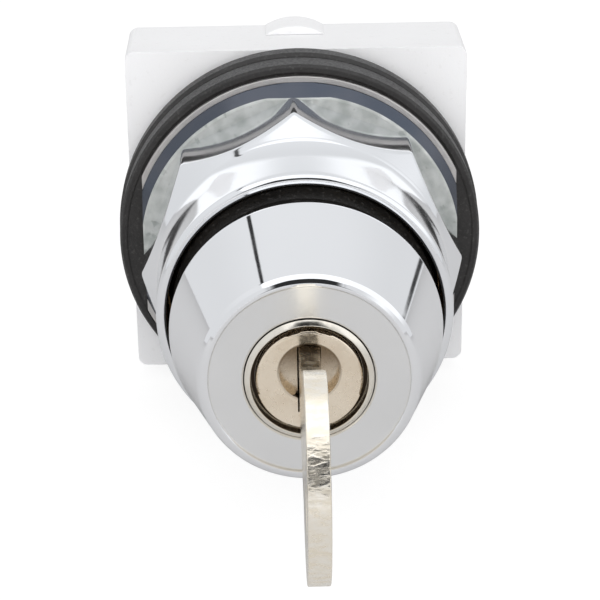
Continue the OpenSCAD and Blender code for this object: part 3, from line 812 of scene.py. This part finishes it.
satin = finish("satin_face", (0.87, 0.87, 0.87), (0.83, 0.83, 0.83), (0.17, 0.23), metallic=1.0, scale=900.0,
               patches=90.0, bump=0.04, depth=0.00002)
head_front, head_wide, head_r, rim_r = -46.9, -34.2, 14.86, 11.7
head = turned("lock_head", [
    (12.3, -13.0), (12.3, -33.1), (head_r - 0.95, -33.1), (head_r - 0.02, head_wide + 0.15),
    (head_r - 0.02, head_wide - 0.3), (rim_r + 0.05, head_front + 1.3), (rim_r - 0.10, head_front + 0.75),
    (rim_r - 0.42, head_front + 0.30), (rim_r - 0.85, head_front + 0.05), (rim_r - 1.2, head_front + 0.05),
    (rim_r - 1.32, head_front + 0.30), (6.95, head_front + 0.4), (6.76, head_front + 0.6),
    (6.76, head_front + 4.0), (8.65, head_front + 4.0), (8.65, -13.0)], corner=0.34, steps=256,
    paint=lambda r, y: 1 if (r < rim_r - 1.25 and y < head_front + 0.45) else 0)
head.data.materials.append(chrome)
head.data.materials.append(satin)
fitted(head, "operator", "chrome_plate", "lock_bezel")


# ---- Lock cylinder ----
# The lock's shell, plug and six wafers are warm nickel plate over brass. The shell's nose shows as a
# ring in the face, and the plug's round pocket takes the shoulder of the key.

def within(tree, value, low, high, soft):
    """A mask that is 1 between two limits and falls to 0 over a softness each side of them."""
    return times(tree, ramp(tree, value, low - soft, low + soft),
                 ramp(tree, value, high - soft, high + soft, 1.0, 0.0))


def distance(tree, across, up):
    """The length of a sideways and an upward measure taken together."""
    return sums(tree, "SQRT", sums(tree, "ADD", times(tree, across, across), times(tree, up, up)))


# Fine turning marks run round the axis, so they follow the distance from it.
turning_marks, given, result = new_effect("turning_marks", {"Pitch": 0.0002, "Wander": 0.3})
wander = add(turning_marks, "ShaderNodeTexNoise", {"Vector": object_places(turning_marks), "Scale": 350.0})
wander = times(turning_marks, wander.outputs["Fac"], given.outputs["Wander"])
places = object_axes(turning_marks)
turns = sums(turning_marks, "DIVIDE", distance(turning_marks, places["X"], places["Z"]),
             given.outputs["Pitch"])
turns = times(turning_marks, sums(turning_marks, "ADD", turns, wander), 2 * math.pi)
wave = sums(turning_marks, "MULTIPLY_ADD", sums(turning_marks, "SINE", turns), 0.5, 0.5)
fed(result, {"Mask": wave})

# Radii in the lock's face, in mm, where shade is painted: the gap round the plug, and the pocket with its
# centre's height.
gap_inner, gap_outer, pocket_r, pocket_z = 5.59, 6.05, 3.30, 1.0
gap_soft, pocket_soft = 0.06, 0.08


def turned_metal(name, colour, second, rough, pitch, bump):
    """Machined and plated metal: patchy colour, turning marks and pits, with painted shade in the gap round
    the plug and in the pocket.
    """
    material = finish(name, colour, second, rough, metallic=1.0, scale=2100.0, patches=330.0, bump=bump,
                      scratches=0.3)
    tree, skin = skin_of(material)
    bump_node = tree.nodes["Bump"]
    fine = bump_node.inputs["Height"].links[0].from_socket
    marks = effect(tree, turning_marks, pitch=pitch, wander=2.5)
    fed(bump_node, {"Height": sums(tree, "ADD", fine, times(tree, marks, 0.8))})
    places = object_axes(tree)
    # Painted shade: a near-black ring on the face where the plug meets the shell.
    gap_shade = within(tree, distance(tree, places["X"], places["Z"]), gap_inner * MM, gap_outer * MM,
                 gap_soft * MM)
    upward = sums(tree, "SUBTRACT", places["Z"], pocket_z * MM)
    # Painted shade in the plug's pocket: a brown darkening that grows stronger towards the pocket's top.
    pocket_shade = ramp(tree, distance(tree, places["X"], upward), (pocket_r - pocket_soft) * MM,
                  (pocket_r + pocket_soft) * MM, 1.0, 0.0)
    pocket_shade = times(tree, pocket_shade, ramp(tree, places["Z"], -0.6 * MM, 3.2 * MM, 0.25, 0.92))
    recoloured(tree, gap_shade, blended(tree, pocket_shade, skin, (0.16, 0.105, 0.055)), (0.030, 0.021, 0.014))
    return material


lock_nickel = turned_metal("lock_nickel", (0.93, 0.82, 0.67), (0.84, 0.72, 0.57), (0.17, 0.28), 0.00016, 0.05)
nose_nickel = turned_metal("nose_nickel", (0.90, 0.86, 0.78), (0.82, 0.77, 0.68), (0.14, 0.22), 0.0003, 0.03)
plain_brass = finish("plain_brass", (0.74, 0.53, 0.23), (0.60, 0.40, 0.15), (0.22, 0.38), metallic=1.0,
                     scale=1300.0, patches=300.0, bump=0.25, scratches=0.5)
dressed("lock_shell", "lock_shell_sleeve", nose_nickel, "lock_nickel", edge=0.10)
dressed("lock_plug", "lock_plug_core", lock_nickel, "lock_nickel", edge=0)
dressed("shell_nut", "shell_nut_ring", plain_brass, "lock_brass", edge=0.12)
dressed("wafers", "wafer_stampings", plain_brass, "lock_brass", edge=0.04)
low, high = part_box("wafer_springs")
coil_x, coil_wire, first_wafer, wafer_pitch = 2.75, 0.09, -41.0, 2.7
coils = grown("wafer_coils", winding, radius=0.32 * MM, wire=coil_wire * MM, turns=6.0, sides=6, count=6,
              length=high.z - low.z - 2 * coil_wire * MM, spacing=wafer_pitch * MM, material=bright_steel)
coils.data.transform(Matrix.Translation((coil_x * MM, first_wafer * MM, low.z + coil_wire * MM)))
coils.data.shade_smooth()
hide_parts("wafer_springs")
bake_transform(coils)


# ---- Key ----
# The key is stamped from nickel-plated brass sheet 2.15 mm thick: a round bow with a ring hole, a tapered
# neck and a blade. The punch leaves its rim torn and wavy, and the two faces smooth.

key_half = 2.15 / 2
bow_y, bow_z, bow_r = -69.6, 1.0, 9.9
neck_y, blade_y, tip_y = -51.9, -46.1, -25.6


def arc(centre, radius, start, end, parts):
    """Points on an arc in the key's plane, in mm and degrees; 0 points towards the lock."""
    turns = [math.radians(start + (end - start) * k / parts) for k in range(parts + 1)]
    return [(centre[0] + radius * math.cos(a), centre[1] + radius * math.sin(a)) for a in turns]


outline = [(neck_y, 3.8), (bow_y + 9, 7.4)]
outline += arc((bow_y, bow_z), bow_r, 65, 317.5, 120)
outline += [(neck_y, -3.8), (blade_y, -3.35), (blade_y + 0.05, -3.2), (tip_y - 1.5, -3.2),
            (tip_y, -1.6), (tip_y, 0.6), (tip_y - 1.5, 2.3)]
for i in reversed(range(6)):
    middle = first_wafer + i * wafer_pitch
    deep = (0.9 + 0.25 * (i % 3)) * math.sqrt(0.5)
    outline += [(middle + deep, 2.3), (middle, 2.3 - deep), (middle - deep, 2.3)]
outline += [(blade_y, 2.3), (blade_y, 3.6)]
plate = bpy.data.curves.new("key_outline", "CURVE")
plate.dimensions = "2D"
plate.fill_mode = "BOTH"
edge = 0.14
plate.extrude = (key_half - edge) * MM
plate.bevel_depth = edge * MM
plate.bevel_resolution = 2
plate.offset = -edge * MM
for points in (outline, arc((bow_y - 4.4, 0), 2.6, 360, 0, 48)[:-1]):
    line = plate.splines.new("POLY")
    line.points.add(len(points) - 1)
    line.use_cyclic_u = True
    for spot, (y, z) in zip(line.points, points):
        spot.co = (y * MM, z * MM, 0, 1)
flat_key = bpy.data.objects.new("key_outline", plate)
bpy.context.scene.collection.objects.link(flat_key)
bpy.context.view_layer.update()
mesh = bpy.data.meshes.new_from_object(flat_key.evaluated_get(bpy.context.evaluated_depsgraph_get()))
bpy.data.objects.remove(flat_key)
# The outline's X and Y become the frame's Y and Z, and its thickness lies along X.
mesh.transform(Matrix(((0, 0, 1, 0), (1, 0, 0, 0), (0, 1, 0, 0), (0, 0, 0, 1))))
outward(mesh, merge=2e-6)
key = new_piece("key_stamping", mesh)
cut(key, block("warding_groove", (-key_half - 1, -44.9, -1.6), (-key_half + 0.45, -20, -0.5)))
evened(smoothed(key, 50))

key_nickel, tree, shader = new_material("key_nickel")
facing = add(tree, "ShaderNodeSeparateXYZ", {0: add(tree, "ShaderNodeTexCoord").outputs["Normal"]})
on_rim = ramp(tree, sums(tree, "ABSOLUTE", facing.outputs["X"]), 0.45, 0.85, 1.0, 0.0)
# Torn metal on the rim: short ridges across the sheet, strongest on the upper front of the bow.
tears = effect(tree, grain, scale=1500.0, stretch=(0.55, 1.0, 1.3), detail=6.0)
coarse = effect(tree, grain, scale=420.0, stretch=(0.6, 1.0, 1.2), detail=3.0)
places = object_axes(tree)
torn_here = times(tree, within(tree, places["Z"], 0.0043, 0.0086, 0.00065),
                  ramp(tree, times(tree, places["Y"], -1.0), 0.0730, 0.0745))
torn_here = sums(tree, "MULTIPLY_ADD", torn_here, 0.92, 0.06)
polish = effect(tree, grain, scale=1900.0, detail=4.0)
patches = effect(tree, grain, scale=240.0, detail=3.0)
plate_colour = blended(tree, patches, (0.90, 0.84, 0.73), (0.84, 0.77, 0.65))
rim_colour = blended(tree, tears, (0.93, 0.85, 0.71), (0.97, 0.92, 0.83))
marks = effect(tree, hairlines, amount=0.5, stretch=(1.0, 0.35, 1.0))
smooth = sums(tree, "ADD", ramp(tree, polish, 0.0, 1.0, 0.14, 0.24), times(tree, marks, 0.2))
roughness = add(tree, "ShaderNodeMix", {0: on_rim, 2: smooth, 3: ramp(tree, tears, 0.0, 1.0, 0.30, 0.18)},
                data_type="FLOAT")
fed(shader, {"Metallic": 1.0, "Roughness": roughness.outputs[0],
             "Base Color": blended(tree, on_rim, plate_colour, rim_colour)})
height = times(tree, sums(tree, "ADD", tears, times(tree, coarse, 2.0)), on_rim, torn_here)
surfaced(tree, sums(tree, "ADD", height, times(tree, polish, 0.06)), 0.8, 0.00006)
key.data.materials.clear()
key.data.materials.append(key_nickel)
fitted(key, "key", "key_brass", "key")


# ---- Camera, light and floor ----
# A long lens looks down a little on the front of the switch, which stands on a plain pale table.
# Broad soft light comes from above and both sides; the room is pale, with the dark lens in front.

swing, tilt, lean = math.radians(-1.06), math.radians(23.10), math.radians(-0.83)
back = Vector((math.sin(swing) * math.cos(tilt), -math.cos(swing) * math.cos(tilt), math.sin(tilt)))
right = Vector((math.cos(swing), math.sin(swing), 0))
upward = back.cross(right)
right, upward = (math.cos(lean) * right + math.sin(lean) * upward,
                 -math.sin(lean) * right + math.cos(lean) * upward)
away, aside, below, aim_y = 242.57, 0.011, 7.73, -5.9
spot = (back * away + right * aside - upward * below + Vector((0, aim_y, 0))) * MM
lens = bpy.data.cameras.new("camera")
lens.lens = 120
lens.sensor_width = 36
lens.clip_start, lens.clip_end = 0.01, 20
camera = bpy.data.objects.new("camera", lens)
bpy.context.scene.collection.objects.link(camera)
camera.matrix_world = Matrix((
    (right.x, upward.x, back.x, spot.x), (right.y, upward.y, back.y, spot.y),
    (right.z, upward.z, back.z, spot.z), (0, 0, 0, 1)))
bpy.context.scene.camera = camera
bpy.context.scene.view_settings.view_transform = "Standard"

table, tree, top = new_material("table")
fed(top, {"Base Color": (0.66, 0.66, 0.665), "Roughness": 0.9, "Specular IOR Level": 0.1})
# Seen directly the table is as pale as a lit sweep, with only a trace of the shadows on it.
pale = add(tree, "ShaderNodeEmission", {"Strength": 0.84})
faint = add(tree, "ShaderNodeBsdfDiffuse", {"Color": (0.24, 0.24, 0.24)})
both = add(tree, "ShaderNodeAddShader", {0: pale.outputs[0], 1: faint.outputs[0]})
seen = add(tree, "ShaderNodeMixShader", {
    0: add(tree, "ShaderNodeLightPath").outputs["Is Camera Ray"], 1: top.outputs[0], 2: both.outputs[0]})
fed(tree.nodes["Material Output"], {"Surface": seen.outputs[0]})
floor = block("floor", (-3000, -3000, -24), (3000, 3000, -22.3))
floor.data.materials.append(table)


def softbox(name, place, aim, size, power):
    """A square soft light at a place in metres, turned towards a point; it shows in no reflection."""
    light = bpy.data.lights.new(name, "AREA")
    light.size = size
    light.energy = power
    lamp = bpy.data.objects.new(name, light)
    lamp.location = place
    lamp.rotation_mode = "QUATERNION"
    lamp.rotation_quaternion = (Vector(aim) - Vector(place)).to_track_quat("-Z", "Y")
    lamp.visible_glossy = False
    bpy.context.scene.collection.objects.link(lamp)


for name, *values in (("softbox_top", (0.05, -0.1, 0.7), (0, -0.02, 0), 0.5, 0.3),
                      ("softbox_front", (0, -0.85, 0.3), (0, 0, 0), 0.6, 3.8),
                      ("softbox_left", (-0.6, -0.45, 0.4), (0, -0.03, 0), 0.4, 0.3),
                      ("softbox_right", (0.6, -0.35, 0.35), (0, -0.03, 0), 0.4, 0.15)):
    softbox(name, *values)

room = bpy.data.worlds.new("room")
bpy.context.scene.world = room
room.use_nodes = True
tree = room.node_tree
whole_sky = add(tree, "ShaderNodeTexCoord").outputs["Generated"]
looking = add(tree, "ShaderNodeSeparateXYZ", {0: whole_sky}).outputs
height = sums(tree, "ARCSINE", looking["Z"])
bearing = sums(tree, "ARCTAN2", looking["X"], looking["Y"])


def patch(bearings, heights, soft):
    """A soft-edged mask over a range of bearings and heights, in degrees."""
    b0, b1, h0, h1, edge = (math.radians(v) for v in (*bearings, *heights, soft))
    return times(tree, within(tree, bearing, b0, b1, edge), within(tree, height, h0, h1, edge))


def shade(value, mask, tone):
    """Moves a brightness towards a tone where the mask is."""
    return add(tree, "ShaderNodeMix", {0: mask, 2: value, 3: tone}, data_type="FLOAT").outputs[0]


# A ceiling panel's edges are straight in these two coordinates.
upward = sums(tree, "MAXIMUM", looking["Z"], 0.02)
aside, beyond = (sums(tree, "DIVIDE", looking[axis], upward) for axis in "XY")


def panel(sides, depths, soft):
    """A soft-edged mask over a rectangle of the ceiling, in heights above the switch."""
    return times(tree, within(tree, aside, *sides, soft), within(tree, beyond, *depths, soft))


glow = ramp(tree, height, math.radians(14), math.radians(50), 0.78, 0.86)
glow = shade(glow, patch((54, 140), (12, 80), 6.0), 1.15)
glow = shade(glow, patch((-34, 34), (-10, 19), 3.0), 1.12)
glow = shade(glow, panel((-0.66, 0.66), (-2.0, 0.57), 0.02), 1.25)
glow = shade(glow, panel((-0.73, -0.66), (0.40, 1.15), 0.012), 0.04)
glow = shade(glow, patch((43.0, 45.4), (0.6, 3.2), 0.6), 0.05)
# The camera and the one who holds it stand dark against the room.
bearing = sums(tree, "ARCTAN2", looking["X"], times(tree, looking["Y"], -1.0))
glow = shade(glow, patch((-24, 24), (18, 57), 4.0), 0.03)
tint = add(tree, "ShaderNodeCombineColor", {0: times(tree, glow, 0.985), 1: glow, 2: times(tree, glow, 1.02)})
mirrored = fed(tree.nodes["Background"], {"Color": tint.outputs[0]})
plain = add(tree, "ShaderNodeBackground", {"Color": (1.0, 1.0, 1.0), "Strength": 0.78})
either = add(tree, "ShaderNodeMixShader", {
    0: add(tree, "ShaderNodeLightPath").outputs["Is Glossy Ray"],
    1: plain.outputs[0], 2: mirrored.outputs[0]})
fed(tree.nodes["World Output"], {"Surface": either.outputs[0]})
